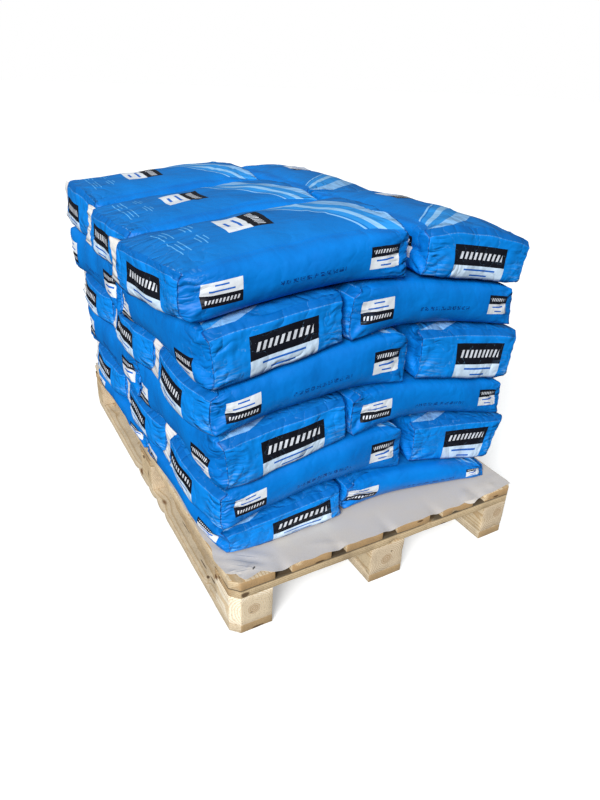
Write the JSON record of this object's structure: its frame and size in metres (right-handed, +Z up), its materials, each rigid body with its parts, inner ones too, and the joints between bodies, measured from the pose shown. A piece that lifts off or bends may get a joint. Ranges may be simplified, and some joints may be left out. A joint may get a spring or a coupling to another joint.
{
  "type": "pallet of sacks",
  "caption": "Filled paper valve sacks stacked in cross-laid layers on a paper slip sheet and a wooden block pallet.",
  "frame": {"origin": "on the floor, under the middle of the pallet, at the middle of the underside of the centre bottom board", "axes": "+Z up, +Y along the pallet's 1200 mm length away from the viewer, +X across its 800 mm width, to the right in the picture"},
  "size_m": [0.8899, 1.2, 0.8195],
  "materials": {
    "pallet_wood": "rough sawn softwood, unplaned and unfinished",
    "slip_paper": "matt uncoated grey-brown kraft paper",
    "sack_paper": "satin blue printed paper with black and white label panels"
  },
  "bodies": {
    "root": {"bottom_board_left": "pallet_wood", "bottom_board_centre": "pallet_wood", "bottom_board_right": "pallet_wood", "block_front_left": "pallet_wood", "block_front_centre": "pallet_wood", "block_front_right": "pallet_wood", "block_middle_left": "pallet_wood", "block_middle_centre": "pallet_wood", "block_middle_right": "pallet_wood", "block_back_left": "pallet_wood", "block_back_centre": "pallet_wood", "block_back_right": "pallet_wood", "cross_board_front": "pallet_wood", "cross_board_middle": "pallet_wood", "cross_board_back": "pallet_wood", "deck_board_1": "pallet_wood", "deck_board_2": "pallet_wood", "deck_board_3": "pallet_wood", "deck_board_4": "pallet_wood", "deck_board_5": "pallet_wood", "deck_board_6": "pallet_wood", "slip_sheet": "slip_paper", "sack_1_a": "sack_paper", "sack_1_b": "sack_paper", "sack_1_c": "sack_paper", "sack_1_d": "sack_paper", "sack_1_e": "sack_paper", "sack_2_a": "sack_paper", "sack_2_b": "sack_paper", "sack_2_c": "sack_paper", "sack_2_d": "sack_paper", "sack_2_e": "sack_paper", "sack_3_a": "sack_paper", "sack_3_b": "sack_paper", "sack_3_c": "sack_paper", "sack_3_d": "sack_paper", "sack_3_e": "sack_paper", "sack_4_a": "sack_paper", "sack_4_b": "sack_paper", "sack_4_c": "sack_paper", "sack_4_d": "sack_paper", "sack_4_e": "sack_paper", "sack_5_a": "sack_paper", "sack_5_b": "sack_paper", "sack_5_c": "sack_paper", "sack_5_d": "sack_paper", "sack_5_e": "sack_paper", "sack_6_a": "sack_paper", "sack_6_b": "sack_paper", "sack_6_c": "sack_paper", "sack_6_d": "sack_paper", "sack_6_e": "sack_paper"}
  },
  "joints": []
}
